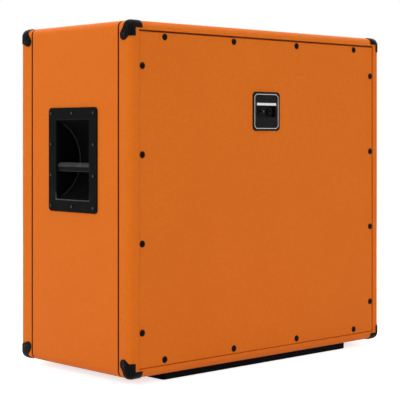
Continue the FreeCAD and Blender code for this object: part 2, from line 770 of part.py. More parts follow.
def lip_outline():
    """Rear or front lip in (from the side, from the top): two arms with rounded tips."""
    rim = -2 * CAP
    tip = CAP_TIP_R * (1 - math.sqrt(0.5))
    notch = CAP_NOTCH_R * (1 - math.sqrt(0.5))
    end_1 = [(CAP_ARM_X, CAP_LIP_H - CAP_TIP_R), (CAP_ARM_X - CAP_TIP_R, CAP_LIP_H)]
    bend = [(CAP_LIP_W + CAP_NOTCH_R, CAP_LIP_H), (CAP_LIP_W, CAP_LIP_H + CAP_NOTCH_R)]
    end_2 = [(CAP_LIP_W, CAP_ARM_Z - CAP_TIP_R), (CAP_LIP_W - CAP_TIP_R, CAP_ARM_Z)]
    return [
        ("line", (rim, CAP_ARM_Z), (rim, rim), (CAP_ARM_X, rim), end_1[0]),
        ("arc", end_1[0], (CAP_ARM_X - tip, CAP_LIP_H - tip), end_1[1]),
        ("line", end_1[1], bend[0]),
        ("arc", bend[0], (CAP_LIP_W + notch, CAP_LIP_H + notch), bend[1]),
        ("line", bend[1], end_2[0]),
        ("arc", end_2[0], (CAP_LIP_W - tip, CAP_ARM_Z - tip), end_2[1]),
        ("line", end_2[1], (rim, CAP_ARM_Z)),
    ]


def outline_prism(outline, spot, sweep):
    """Prism from an outline whose (u, v) points are mapped into space by spot."""
    edges = []
    for kind, *points in outline:
        places = [spot(u, v) for u, v in points]
        if kind == "arc":
            edges.append(Part.Arc(*places).toShape())
        else:
            edges.extend(Part.makePolygon(places).Edges)
    return Part.Face(Part.Wire(edges)).extrude(sweep)


reach = EDGE_R + 2 * CAP
side_leg = outline_prism(
    lobed_leg(CAP_ARM_Z),
    lambda u, v: Vector(HALF_X - EDGE_R, HALF_Y - u, TOP_Z - v),
    X * reach,
)
top_leg = outline_prism(
    tapered_leg(CAP_ARM_X),
    lambda u, v: Vector(HALF_X - v, HALF_Y - u, TOP_Z - EDGE_R),
    Z * reach,
)
lip = outline_prism(
    lip_outline(),
    lambda u, v: Vector(HALF_X - u, HALF_Y - EDGE_R, TOP_Z - v),
    Y * reach,
)
corner = 2 * max(CAP_ARM_X, CAP_ARM_Z, CAP_LOBE_DOWN + CAP_LOBE_R)
shell = rounded_block(CAP).common(box(HALF_X - corner, FAR, HALF_Y - corner, FAR, TOP_Z - corner, FAR))
shell = shell.cut(outside)
cap = shell.common(side_leg.fuse([top_leg, lip])).cut(cap_holes + cap_sinks)
cap = cap.Solids[0]
rear_caps = four_ways(cap)
nodes["corner_caps_rear"] = Part.makeCompound(rear_caps)
nodes["corner_caps_front"] = Part.makeCompound(
    [c.mirror(Vector(0, 0, 0), Y) for c in rear_caps]
)
nodes["corner_cap_screws"] = Part.makeCompound(placed(small, cap_spots))

# Drivers: everything is spun about each driver's axis
former_in = POLE_R + COIL_GAP
former_out = former_in + FORMER
winding_out = former_out + WINDING
plate_bore = winding_out + PLATE_GAP
plate_front = BASKET_DEPTH
magnet_front = plate_front + TOP_PLATE
yoke_front = magnet_front + MAGNET
flange_in = DRIVER_R - FLANGE_W
surround_out = cutout_r - CONE_GAP
cone_out = surround_out - SURROUND_W
landing_out = LANDING_R + LANDING_W
ring_in = MAGNET_BORE_R


def basket():
    """Pressed frame: flange, stepped cone with windows, landing and rear ring."""
    steel = FRAME_STEEL
    flange_front = GASKET
    step = flange_front + BASKET_STEP
    front = [
        (DRIVER_R, flange_front),
        (flange_in, flange_front),
        (flange_in - steel, step),
        (landing_out, LANDING_DEPTH),
        (LANDING_R, LANDING_DEPTH),
        (LANDING_R - steel, BASKET_DEPTH - steel),
        (ring_in, BASKET_DEPTH - steel),
    ]
    rear = [
        (ring_in, BASKET_DEPTH),
        (LANDING_R, BASKET_DEPTH),
        (LANDING_R + steel, LANDING_DEPTH + steel),
        (landing_out + steel, LANDING_DEPTH + steel),
        (flange_in + steel / 2, step + steel / 2),
        (flange_in + steel, flange_front + steel),
        (DRIVER_R, flange_front + steel),
    ]
    shell = spun(front + rear, 0)
    pitch = 360 / WINDOWS
    half = math.radians((pitch - ARM_DEG) / 2)
    low, high = landing_out + WINDOW_RIM, flange_in - WINDOW_RIM

    def at(radius, angle):
        return Vector(radius * math.cos(angle), 0, radius * math.sin(angle))

    for i in range(WINDOWS):
        turn = math.radians(i * pitch)
        wire = Part.Wire(
            [
                Part.Arc(at(high, turn - half), at(high, turn), at(high, turn + half)).toShape(),
                Part.makeLine(at(high, turn + half), at(low, turn + half)),
                Part.Arc(at(low, turn + half), at(low, turn), at(low, turn - half)).toShape(),
                Part.makeLine(at(low, turn - half), at(high, turn - half)),
            ]
        )
        shell = shell.cut(Part.Face(wire).extrude(Y * LANDING_DEPTH))
    holes = [
        rod(Vector(bolt_circle * math.cos(a), -CUT, bolt_circle * math.sin(a)), Y, BOLT_R + SCREW_CLEAR, FAR)
        for a in bolt_angles
    ]
    return shell.cut(holes)


def cone_line(offset):
    """Gently flared cone line from rim to neck, moved rearwards by an offset."""
    rim = Vector(cone_out, GASKET + offset, 0)
    neck = Vector(former_out, CONE_NECK_DEPTH + offset, 0)
    middle = (rim + neck) * 0.5 + Vector(0, CONE_BULGE, 0)
    return Part.Arc(rim, middle, neck)


def cone():
    front, rear = cone_line(0), cone_line(CONE)
    edges = [
        front.toShape(),
        Part.makeLine(front.EndPoint, rear.EndPoint),
        rear.toShape(),
        Part.makeLine(rear.StartPoint, front.StartPoint),
    ]
    return spun(Part.__sortEdges__(edges), 0)


def cone_depth(radius):
    """How far behind the baffle the cone's front lies at a radius."""
    circle = cone_line(0).toShape().Curve
    side = 1 if circle.Center.y < GASKET else -1
    return circle.Center.y + side * math.sqrt(circle.Radius**2 - (radius - circle.Center.x) ** 2)


def dust_cap():
    rim = cone_depth(DUST_CAP_R) - SCREW_CLEAR
    lines = []
    for back in (DUST_CAP, 0):
        points = dome(DUST_CAP_R, rim - back, rim - back - DUST_CAP_RISE)
        lines.append(Part.Arc(*[Vector(r, d, 0) for r, d in points]))
    outer, inner = lines
    edges = [
        outer.toShape(),
        Part.makeLine(outer.EndPoint, inner.EndPoint),
        inner.toShape(),
        Part.makeLine(inner.StartPoint, outer.StartPoint),
    ]
    return spun(Part.__sortEdges__(edges), 0)


def rolled_ring(r0, r1, rest, thickness, height, waves, flat):
    """Thin ring with half-waves between its inner edge and a flat glued rim."""
    steps = 6 * waves
    line = []
    for i in range(steps + 1):
        share = i / steps
        wave = height * math.sin(math.pi * waves * share)
        line.append((r0 + (r1 - flat - r0) * share, rest - thickness - wave))
    line.append((r1, rest - thickness))
    back = [(r, d + thickness) for r, d in reversed(line)]
    return spun(line + back, 0)


driver_pieces = {
    "frame": basket(),
    "cone": cone(),
    "dust_cap": dust_cap(),
    "voice_coil": spun(
        [
            (former_in, FORMER_START),
            (former_out, FORMER_START),
            (former_out, magnet_front + FORMER_PAST_PLATE - WINDING_L),
            (winding_out, magnet_front + FORMER_PAST_PLATE - WINDING_L),
            (winding_out, magnet_front + FORMER_PAST_PLATE),
            (former_in, magnet_front + FORMER_PAST_PLATE),
        ],
        0,
    ),
}
shared_pieces = {
    "driver_gaskets": spun(
        [(DRIVER_R - GASKET_W, 0), (DRIVER_R, 0), (DRIVER_R, GASKET), (DRIVER_R - GASKET_W, GASKET)], 0
    ).cut(
        [
            rod(Vector(bolt_circle * math.cos(a), -CUT, bolt_circle * math.sin(a)), Y, BOLT_R + SCREW_CLEAR, FAR)
            for a in bolt_angles
        ]
    ),
    "driver_surrounds": rolled_ring(
        cone_out + CONE_GAP,
        surround_out,
        GASKET,
        SURROUND,
        SURROUND_ROLL,
        2,
        surround_out - flange_in,
    ),
    "driver_spiders": rolled_ring(
        former_out + CONE_GAP,
        landing_out,
        LANDING_DEPTH,
        SPIDER,
        SPIDER_WAVE,
        2 * SPIDER_WAVES,
        LANDING_W,
    ),
    "driver_top_plates": spun(
        [
            (plate_bore, plate_front),
            (TOP_PLATE_R, plate_front),
            (TOP_PLATE_R, magnet_front),
            (plate_bore, magnet_front),
        ],
        0,
    ),
    "driver_magnets": spun(
        [
            (MAGNET_BORE_R, magnet_front),
            (MAGNET_R, magnet_front),
            (MAGNET_R, yoke_front),
            (MAGNET_BORE_R, yoke_front),
        ],
        0,
    ),
    "driver_yokes": spun(
        [
            (0, plate_front),
            (POLE_R, plate_front),
            (POLE_R, yoke_front),
            (TOP_PLATE_R, yoke_front),
            (TOP_PLATE_R, yoke_front + YOKE),
            (0, yoke_front + YOKE),
        ],
        0,
    ),
    "driver_terminals": box(
        -TAG_W / 2,
        TAG_W / 2,
        LANDING_DEPTH + FRAME_STEEL,
        LANDING_DEPTH + FRAME_STEEL + TAG_T,
        LANDING_R + 2 * FRAME_STEEL,
        LANDING_R + 2 * FRAME_STEEL + LANDING_W,
    ),
}
for name, piece in shared_pieces.items():
    nodes[name] = Part.makeCompound(
        [piece.translated(Vector(x, BAFFLE_REAR, z)) for x, z in DRIVER_CENTRES]
    )
for number, (x, z) in enumerate(DRIVER_CENTRES, 1):
    for name, piece in driver_pieces.items():
        nodes["driver_%d_%s" % (number, name)] = piece.translated(Vector(x, BAFFLE_REAR, z))

bolt = pan_screw(BOLT_HEAD_R, BOLT_HEAD_H, BOLT_R, bolt_length)
nodes["driver_bolts"] = Part.makeCompound(placed(bolt, bolt_spots))
nut_y = BAFFLE_REAR + GASKET + FRAME_STEEL
nodes["driver_nuts"] = Part.makeCompound(
    [
        hex_prism(Vector(p.x, nut_y, p.z), Y, NUT_AF, NUT_H).cut(
            rod(Vector(p.x, nut_y - CUT, p.z), Y, BOLT_R + SCREW_CLEAR, NUT_H + 2 * CUT)
        )
        for p, a in bolt_spots
    ]
)

os.makedirs("parts", exist_ok=True)
for name, shape in nodes.items():
    shape.exportStep("parts/%s.step" % name)
print("%d nodes, %.1f x %.1f x %.1f box" % (len(nodes), 2 * HALF_X, BOX_DEPTH, 2 * HALF_Z))
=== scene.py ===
"""Looks of the guitar speaker cabinet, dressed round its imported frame. Metres, rear panel towards +Y."""
import bmesh
import bpy
import json
import math
import random
from mathutils import Matrix, Vector


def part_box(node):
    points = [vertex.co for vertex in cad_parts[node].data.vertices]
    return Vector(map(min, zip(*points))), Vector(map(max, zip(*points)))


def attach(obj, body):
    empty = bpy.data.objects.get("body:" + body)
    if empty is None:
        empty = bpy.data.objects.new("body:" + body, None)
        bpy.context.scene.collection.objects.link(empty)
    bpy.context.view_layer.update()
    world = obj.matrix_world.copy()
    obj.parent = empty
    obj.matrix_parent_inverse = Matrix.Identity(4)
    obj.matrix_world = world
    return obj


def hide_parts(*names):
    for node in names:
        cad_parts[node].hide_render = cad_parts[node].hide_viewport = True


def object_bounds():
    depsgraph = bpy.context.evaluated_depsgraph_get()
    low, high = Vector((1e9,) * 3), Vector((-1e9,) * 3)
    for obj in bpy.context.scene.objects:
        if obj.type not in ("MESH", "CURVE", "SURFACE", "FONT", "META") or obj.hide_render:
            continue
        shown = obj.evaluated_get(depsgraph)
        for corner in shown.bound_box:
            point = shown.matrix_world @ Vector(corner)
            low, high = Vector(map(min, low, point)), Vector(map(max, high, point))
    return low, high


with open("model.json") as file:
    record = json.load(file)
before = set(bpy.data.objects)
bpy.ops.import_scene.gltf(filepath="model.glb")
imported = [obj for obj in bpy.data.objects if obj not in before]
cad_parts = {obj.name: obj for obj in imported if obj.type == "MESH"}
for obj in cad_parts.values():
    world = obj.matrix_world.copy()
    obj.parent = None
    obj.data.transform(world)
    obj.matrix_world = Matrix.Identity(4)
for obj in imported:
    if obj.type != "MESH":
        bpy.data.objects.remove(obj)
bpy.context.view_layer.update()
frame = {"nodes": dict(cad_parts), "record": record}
nodes = frame["nodes"]
record = frame["record"]
MM = 0.001
# Points nearer than this to a plane or a line lie on it
TOUCH = 0.01 * MM

# Handle mouth, as in the solids
MOUTH_W, MOUTH_H, MOUTH_DEPTH = 112 * MM, 167 * MM, 65 * MM
ARC_R = (MOUTH_H**2 / 4 + MOUTH_DEPTH**2) / (2 * MOUTH_DEPTH)
# Grip: rounding of its top and back, easing of its lower front edge, and how far its top and bottom sit below
# those of the plain bar
GRIP_ROUND, GRIP_EASE = 9.0 * MM, 3.0 * MM
GRIP_TOP_DROP, GRIP_DROP = 1.5 * MM, 2.0 * MM

# Rounding of the box's edges, and how far past it a point counts as behind it
EDGE_ROUND, PAST_ROUND = 15 * MM, 0.1 * MM
# Points of a cap within this radius of its screw stay in place
HOLE_KEEP = 5 * MM
# Front caps: how much further back their side and top legs reach than the solids' do, how deep the waist
# between the legs is, and how much of a half-wave the waist takes
FRONT_CAP_SIDE, FRONT_CAP_TOP = 13.5 * MM, 13 * MM
FRONT_WAIST_IN, FRONT_WAIST_WAVE = 5 * MM, 0.85
# Heel of a front cap's side leg, from the front and from the top, and the fall of the edge from there to the
# lobe
HEEL_IN, HEEL_DOWN, HEEL_FALL = 5.5 * MM, 29.5 * MM, 0.35
# Rear caps: where the side leg's front edge begins, how far its waist is drawn in and how far down, and how
# much longer the lobe is, from where and over what length
LEG_FROM = EDGE_ROUND + 2 * MM
WAIST_IN, WAIST_DOWN = 4.2 * MM, 13 * MM
LOBE_LONGER, LOBE_FROM, LOBE_EASE = 2.4 * MM, 20 * MM, 6 * MM

# Thickness of the border and the strip on the jack plate
PRINT_THICK = 0.12 * MM

# Photograph's camera: a level view from behind the right-hand side
CAMERA_AT = (2.0159, 2.1312, 0.5055)
CAMERA_AZIMUTH = 136.949
CAMERA_LENS = 114.98
CAMERA_SENSOR = 36.0
CAMERA_SHIFT = (0.0006, -0.1666)
CAMERA_FAR = 200.0

# Studio: half the floor's width, its drop below the skids, its shade and roughness, the light that lifts it
# to white where it is seen directly, and the strength of the soft light from all round
FLOOR_HALF, FLOOR_DROP = 30.0, 0.2 * MM
FLOOR_WHITE, FLOOR_ROUGHNESS, FLOOR_LIFT = (0.86, 0.86, 0.86, 1), 0.9, 0.72
SKY_FILL = 0.34
WHITE = (1, 1, 1, 1)

# Colours, linear
ORANGE = (0.765, 0.180, 0.010, 1)
ORANGE_CREASE_SHADE = (0.61, 0.120, 0.005, 1)
ORANGE_PALE = (0.773, 0.184, 0.011, 1)
BLACK = (0.0042, 0.0042, 0.0046)
BLACK_WORN = (0.009, 0.009, 0.0098)
# Grey painted onto black mouldings as highlights
PAINTED_HIGHLIGHT_GREY = (0.11, 0.11, 0.115, 1)
PLY_PALE = (0.60, 0.42, 0.24, 1)
PLY_BROWN = (0.42, 0.26, 0.12, 1)
GROOVE_STAIN_AND_SHADE = (0.10, 0.022, 0.004, 1)
YARN_DARK = (0.055, 0.030, 0.016, 1)
YARN_LIGHT = (0.21, 0.135, 0.072, 1)
YARN_GAP_SHADE = (0.012, 0.008, 0.006, 1)
YARN_FUZZ = (0.30, 0.20, 0.11, 1)


# Node helpers
def add(tree, kind, settings=None, **inputs):
    """New shader node; an input is a constant or another node's socket, and _2 is the third input."""
    node = tree.nodes.new(kind)
    for key, value in (settings or {}).items():
        setattr(node, key, value)
    for key, value in inputs.items():
        socket = node.inputs[int(key[1:])] if key[0] == "_" else node.inputs[key.replace("_", " ")]
        if isinstance(value, bpy.types.NodeSocket):
            tree.links.new(value, socket)
        else:
            socket.default_value = value
    return node


def new_material(name, **shader_values):
    """Material with constants on its shader; gives its tree, its shader and the Object coordinates too."""
    material = bpy.data.materials.new(name)
    material.use_nodes = True
    tree = material.node_tree
    shader = tree.nodes["Principled BSDF"]
    for key, value in shader_values.items():
        shader.inputs[key.replace("_", " ")].default_value = value
    place = add(tree, "ShaderNodeTexCoord").outputs["Object"]
    return material, tree, shader, place


def feed(tree, shader, **values):
    """Link patterns to a shader's sockets."""
    for key, value in values.items():
        tree.links.new(value, shader.inputs[key.replace("_", " ")])


def noise(tree, place, scale, detail=2.0, roughness=0.5):
    """Cloudy pattern with a number of clouds to the metre."""
    node = add(tree, "ShaderNodeTexNoise", Vector=place, Scale=scale, Detail=detail, Roughness=roughness)
    return node.outputs[0]


def ramp(tree, value, low, high, low_to=0.0, high_to=1.0):
    """A value from low to high, mapped to the range low_to to high_to."""
    node = add(tree, "ShaderNodeMapRange", Value=value, _1=low, _2=high, _3=low_to, _4=high_to)
    return node.outputs[0]


def blend(tree, factor, first, second):
    """Colour between two others."""
    mix = add(tree, "ShaderNodeMix", {"data_type": "RGBA"}, _0=factor, _6=first, _7=second)
    return mix.outputs[2]


def maths(tree, kind, first, second):
    """Result of a Math node."""
    return add(tree, "ShaderNodeMath", {"operation": kind}, _0=first, _1=second).outputs[0]


def product(tree, first, second):
    """Two values multiplied."""
    return maths(tree, "MULTIPLY", first, second)


def larger(tree, first, second):
    """The larger of two values."""
    return maths(tree, "MAXIMUM", first, second)


def less(tree, first, second):
    """One value less another."""
    return maths(tree, "SUBTRACT", first, second)


def unsigned(tree, value):
    """A value without its sign."""
    return maths(tree, "ABSOLUTE", value, 0.0)


def axes(tree, place):
    """X, Y and Z of a place."""
    return add(tree, "ShaderNodeSeparateXYZ", Vector=place).outputs


def stretched(tree, place, scale):
    """Coordinates scaled along each axis."""
    return add(tree, "ShaderNodeMapping", Vector=place, Scale=scale).outputs[0]


def bump(tree, shader, height, strength, distance):
    """Fine relief on a shader."""
    node = add(tree, "ShaderNodeBump", Height=height, Strength=strength, Distance=distance)
    tree.links.new(node.outputs[0], shader.inputs["Normal"])


def band(tree, value, middle, half):
    """One at a value, falling to zero at a distance on either side of it."""
    return ramp(tree, unsigned(tree, less(tree, value, middle)), low=0.0, high=half, low_to=1.0, high_to=0.0)


def tinted(colour, factor):
    """A colour made darker or lighter, with its alpha."""
    return tuple(min(1.0, c * factor) for c in colour) + (1,)


# Finishes
def grained_vinyl():
    """Pebbled covering: creased cells about a millimetre and a half wide, with painted shade darkening the
    creases.
    """
    cells_per_metre, bends_per_metre, bend = 620.0, 260.0, 1.6 * MM
    material, tree, shader, place = new_material("orange_vinyl", Roughness=0.5, Specular_IOR_Level=0.1)
    wobble = add(tree, "ShaderNodeTexNoise", Vector=place, Scale=bends_per_metre, Detail=2.0).outputs[1]
    multiply_add = {"operation": "MULTIPLY_ADD"}
    bent = add(tree, "ShaderNodeVectorMath", multiply_add, _0=wobble, _1=(bend,) * 3, _2=place).outputs[0]
    to_edge = {"feature": "DISTANCE_TO_EDGE"}
    cells = add(tree, "ShaderNodeTexVoronoi", to_edge, Vector=bent, Scale=cells_per_metre).outputs[0]
    pebble = ramp(tree, cells, low=0.0, high=0.32)
    fine = noise(tree, place, scale=2600.0, detail=3.0)
    broad = noise(tree, place, scale=7.0, detail=3.0, roughness=0.55)
    mottle = noise(tree, place, scale=120.0, detail=3.0, roughness=0.6)
    # Painted shade: the creases between the cells darker than their crowns
    crease_shaded = blend(tree, pebble, ORANGE_CREASE_SHADE, ORANGE)
    patch = product(
        tree,
        ramp(tree, broad, low=0.3, high=0.75, low_to=0.0, high_to=0.4),
        ramp(tree, mottle, low=0.3, high=0.75),
    )
    feed(
        tree,
        shader,
        Base_Color=blend(tree, patch, crease_shaded, ORANGE_PALE),
        Roughness=ramp(tree, pebble, low=0.0, high=1.0, low_to=0.62, high_to=0.47),
    )
    fine_share = 0.35
    height = maths(tree, "ADD", pebble, product(tree, fine, fine_share))
    bump(tree, shader, height, strength=0.55, distance=0.35 * MM)
    return material


def moulded_black(name, roughness, grain, tint=1.0, gloss=0.07, highlight_mask=None):
    """Black moulding with a fine spark-eroded texture, faint handling marks and, where a mask is given, a
    painted highlight.
    """
    uneven = 0.06
    material, tree, shader, place = new_material(name, Specular_IOR_Level=gloss)
    marks = noise(tree, place, scale=38.0, detail=5.0, roughness=0.65)
    scuff = ramp(tree, marks, low=0.52, high=0.8)
    colour = blend(tree, scuff, tinted(BLACK, tint), tinted(BLACK_WORN, tint))
    # Painted highlight: a lighter grey laid over the mask, made patchy by clouds
    if highlight_mask:
        clouds = noise(tree, place, scale=55.0, detail=3.0)
        patchy = ramp(tree, clouds, low=0.25, high=0.6, low_to=0.55, high_to=1.0)
        colour = blend(tree, product(tree, highlight_mask(tree, place), patchy), colour, PAINTED_HIGHLIGHT_GREY)
    speckle = noise(tree, place, scale=300.0, detail=3.0)
    rough = ramp(tree, speckle, low=0.3, high=0.7, low_to=roughness - uneven, high_to=roughness + uneven)
    feed(tree, shader, Base_Color=colour, Roughness=rough)
    texture = noise(tree, place, scale=grain, detail=3.0, roughness=0.6)
    bump(tree, shader, texture, strength=0.25, distance=0.12 * MM)
    return material


def handle_painted_highlights(tree, place):
    """Painted highlights on a handle: along the lip of its mouth, strongest at the bottom and faint at the
    top, and along the roots of its end walls.
    """
    lip_past, lip_half, lip_deep = 0.4 * MM, 1.6 * MM, 3 * MM
    lip_full_at, lip_gone_at, lip_left = -80 * MM, -66 * MM, 0.05
    root_in, root_half, root_highlight = 1.0 * MM, 1.7 * MM, 0.6
    root_full_at, root_gone_at = 26 * MM, 12 * MM
    low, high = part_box("handle_dish_right")
    mid_y, mid_z = (low.y + high.y) / 2, (low.z + high.z) / 2
    axis = axes(tree, place)
    out = unsigned(tree, axis[0])
    along = unsigned(tree, less(tree, axis[1], mid_y))
    rise = less(tree, axis[2], mid_z)
    past_end = less(tree, along, MOUTH_W / 2)
    past_top = less(tree, unsigned(tree, rise), MOUTH_H / 2)
    edge = band(tree, larger(tree, past_end, past_top), lip_past, lip_half)
    lip = product(tree, edge, ramp(tree, out, low=high.x - lip_deep, high=high.x - MM))
    lower = ramp(tree, rise, low=lip_full_at, high=lip_gone_at, low_to=1.0, high_to=lip_left)
    lip = product(tree, lip, lower)

    arc_at = high.x - MOUTH_DEPTH + ARC_R
    reach = add(tree, "ShaderNodeCombineXYZ", _0=less(tree, out, arc_at), _1=rise).outputs[0]
    radius = add(tree, "ShaderNodeVectorMath", {"operation": "LENGTH"}, _0=reach).outputs["Value"]
    root = product(
        tree,
        band(tree, radius, ARC_R - root_in, root_half),
        band(tree, along, MOUTH_W / 2 - root_in, root_half),
    )
    deep, shallow = high.x - root_full_at, high.x - root_gone_at
    root = product(tree, root, ramp(tree, out, low=deep, high=shallow, low_to=root_highlight, high_to=0.0))
    return larger(tree, lip, root)


def grip_painted_highlights(tree, place):
    """Painted highlights on a grip: a band over its rounded top, and a faint line along its lower edge."""
    top_highlight, edge_highlight, edge_half = 0.44, 0.16, 1.5 * MM
    low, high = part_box("handle_bar_right")
    height = axes(tree, place)[2]
    split = high.z - GRIP_TOP_DROP - GRIP_ROUND
    top = ramp(tree, height, low=split - MM, high=split + MM, low_to=0.0, high_to=top_highlight)
    edge = band(tree, height, low.z - GRIP_DROP + edge_half, edge_half)
    return larger(tree, top, product(tree, edge, edge_highlight))


def steel(name, colour, metallic, roughness, gloss=0.5):
    """Plated or blackened steel with fine turning marks and dull spots."""
    spot_shade, spot_dulling = 0.7, 0.14
    material, tree, shader, place = new_material(name, Metallic=metallic, Specular_IOR_Level=gloss)
    spots = ramp(tree, noise(tree, place, scale=420.0, detail=4.0, roughness=0.6), low=0.35, high=0.75)
    feed(
        tree,
        shader,
        Base_Color=blend(tree, spots, colour + (1,), tinted(colour, spot_shade)),
        Roughness=ramp(tree, spots, low=0.0, high=1.0, low_to=roughness, high_to=roughness + spot_dulling),
    )
    bump(tree, shader, noise(tree, place, scale=1900.0), strength=0.12, distance=0.06 * MM)
    return material


def plywood():
    """Birch ply inside the box, dark orange-brown where the seam grooves cut its outer face: partly a stain,
    partly painted shade in the grooves.
    """
    groove_dark_depth = 9 * MM
    material, tree, shader, place = new_material("birch_ply", Roughness=0.7)
    along = stretched(tree, place, (5.0, 60.0, 60.0))
    grain = noise(tree, along, scale=3.0, detail=6.0, roughness=0.6)
    wood = blend(tree, ramp(tree, grain, low=0.35, high=0.7), PLY_PALE, PLY_BROWN)
    axis = axes(tree, place)
    low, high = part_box("covering_middle")
    outer = maths(tree, "GREATER_THAN", unsigned(tree, axis[0]), high.x - groove_dark_depth)
    outer = larger(tree, outer, maths(tree, "GREATER_THAN", axis[2], high.z - groove_dark_depth))
    outer = larger(tree, outer, maths(tree, "LESS_THAN", axis[2], low.z + groove_dark_depth))
    # Stain and painted shade: the ply's outer zone darkened, which shows in the seam grooves
    feed(tree, shader, Base_Color=blend(tree, outer, wood, GROOVE_STAIN_AND_SHADE))
    bump(tree, shader, grain, strength=0.2, distance=0.3 * MM)
    return material


def woven_cloth():
    """Open basket weave of two yarns, read across the front, with painted shade in the low places between the
    yarns.
    """
    pitch = 2.4 * MM
    material, tree, shader, place = new_material("grille_weave", Roughness=0.85, Sheen_Weight=0.25)
    axis = axes(tree, place)
    turns = [product(tree, axis[i], math.pi / pitch) for i in (0, 2)]
    warp, weft = [unsigned(tree, maths(tree, "SINE", turn, 0.0)) for turn in turns]
    flat = stretched(tree, place, (1.0, 0.0, 1.0))
    over = add(tree, "ShaderNodeTexChecker", Vector=flat, Scale=1 / pitch).outputs["Fac"]
    height = add(tree, "ShaderNodeMix", {"data_type": "FLOAT"}, _0=over, _2=warp, _3=weft).outputs[0]
    slub = noise(tree, stretched(tree, place, (900.0, 900.0, 90.0)), scale=1.0, detail=3.0)
    yarn = blend(tree, over, YARN_DARK, YARN_LIGHT)
    # Painted shade: the yarns darker where the weave dips between them
    shaded = blend(tree, ramp(tree, height, low=0.1, high=0.8), YARN_GAP_SHADE, yarn)
    fuzz = ramp(tree, slub, low=0.45, high=0.8, low_to=0.0, high_to=0.35)
    feed(tree, shader, Base_Color=blend(tree, fuzz, shaded, YARN_FUZZ))
    bump(tree, shader, height, strength=0.8, distance=0.6 * MM)
    return material


def fibrous(name, colour, roughness=0.85, scale=500.0):
    """Pressed paper, felt, cork or treated cloth with a short random fibre."""
    fibre_light = 1.5
    material, tree, shader, place = new_material(name, Roughness=roughness)
    fibre = noise(tree, stretched(tree, place, (1.0, 1.0, 0.35)), scale=scale, detail=5.0, roughness=0.7)
    strands = ramp(tree, fibre, low=0.35, high=0.7)
    feed(tree, shader, Base_Color=blend(tree, strands, colour + (1,), tinted(colour, fibre_light)))
    bump(tree, shader, fibre, strength=0.35, distance=0.3 * MM)
    return material


def smooth_plastic(name, colour, roughness):
    """Extruded or printed plastic with slight unevenness."""
    cloud_shade, cloud_dulling = 0.85, 0.1
    material, tree, shader, place = new_material(name)
    cloud = noise(tree, place, scale=90.0, detail=3.0)
    shade = ramp(tree, cloud, low=0.3, high=0.7)
    feed(
        tree,
        shader,
        Base_Color=blend(tree, shade, colour + (1,), tinted(colour, cloud_shade)),
        Roughness=ramp(tree, cloud, low=0.3, high=0.7, low_to=roughness, high_to=roughness + cloud_dulling),
    )
    bump(tree, shader, noise(tree, place, scale=900.0), strength=0.08, distance=0.1 * MM)
    return material


FINISH = {
    "orange_vinyl": grained_vinyl(),
    "plywood": plywood(),
    "black_painted_wood": fibrous("black_paint", (0.014, 0.014, 0.014), roughness=0.6, scale=160.0),
    "skid_plastic": moulded_black("skid_black", roughness=0.55, grain=700.0, tint=0.55, gloss=0.02),
    "handle_plastic": moulded_black(
        "handle_black", roughness=0.42, grain=1500.0, tint=0.9, gloss=0.022, highlight_mask=handle_painted_highlights
    ),
    "handle_bar": moulded_black(
        "bar_black", roughness=0.4, grain=1800.0, tint=0.9, gloss=0.03, highlight_mask=grip_painted_highlights
    ),
    "cap_plastic": moulded_black("cap_black", roughness=0.36, grain=1500.0, tint=0.85, gloss=0.035),
    "jack_plastic": moulded_black("plate_black", roughness=0.5, grain=1600.0),
    "socket_plastic": moulded_black("socket_black", roughness=0.4, grain=1500.0),
    "black_steel": steel(
        "black_oxide", (0.0045, 0.0045, 0.0048), metallic=0.0, roughness=0.36, gloss=0.035
    ),
    "screw_steel": steel("screw_steel", (0.07, 0.071, 0.075), metallic=1.0, roughness=0.34),
    "grille_cloth": woven_cloth(),
    "piping": smooth_plastic("piping_cream", (0.78, 0.74, 0.62), roughness=0.35),
    "white_print": smooth_plastic("white_print", (0.66, 0.66, 0.65), roughness=0.5),
    "blank_strip": smooth_plastic("strip_white", (0.80, 0.80, 0.79), roughness=0.45),
    "driver_steel": steel("driver_enamel", (0.02, 0.02, 0.02), metallic=0.0, roughness=0.4),
    "cone_paper": fibrous("cone_pulp", (0.022, 0.02, 0.019)),
    "coil": fibrous("coil_former", (0.40, 0.20, 0.07), roughness=0.5),
    "gasket": fibrous("gasket_cork", (0.09, 0.06, 0.04)),
    "surround": fibrous("surround_cloth", (0.012, 0.012, 0.012), roughness=0.5),
    "spider": fibrous("spider_cloth", (0.42, 0.25, 0.10)),
    "zinc_steel": steel("zinc_plate", (0.56, 0.55, 0.50), metallic=1.0, roughness=0.3),
    "ferrite": steel("ferrite_grey", (0.045, 0.045, 0.05), metallic=0.2, roughness=0.55),
    "terminal_board": fibrous("terminal_fibre", (0.22, 0.11, 0.04), roughness=0.6),
}
for subpart in record["subparts"]:
    skin = nodes[subpart["node"]].data
    skin.materials.clear()
    skin.materials.append(FINISH[subpart["material_slot"]])


# Mesh helpers
def piece(name, bm, slot, body="cabinet", smooth_angle=35.0, stands_for=(), finish=None):
    """Turn a bmesh into a finished piece that rides on a body."""
    mesh = bpy.data.meshes.new(name)
    bm.normal_update()
    bm.to_mesh(mesh)
    bm.free()
    for face in mesh.polygons:
        face.use_smooth = True
    mesh.set_sharp_from_angle(angle=math.radians(smooth_angle))
    mesh.materials.append(FINISH[finish or slot])
    obj = bpy.data.objects.new(name, mesh)
    bpy.context.scene.collection.objects.link(obj)
    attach(obj, body)
    if stands_for:
        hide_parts(*stands_for)
    return obj


def merged_copy(node):
    """A CAD node's triangles in a bmesh with their corners joined."""
    bm = bmesh.new()
    bm.from_mesh(nodes[node].data)
    bmesh.ops.remove_doubles(bm, verts=bm.verts, dist=0.002 * MM)
    return bm


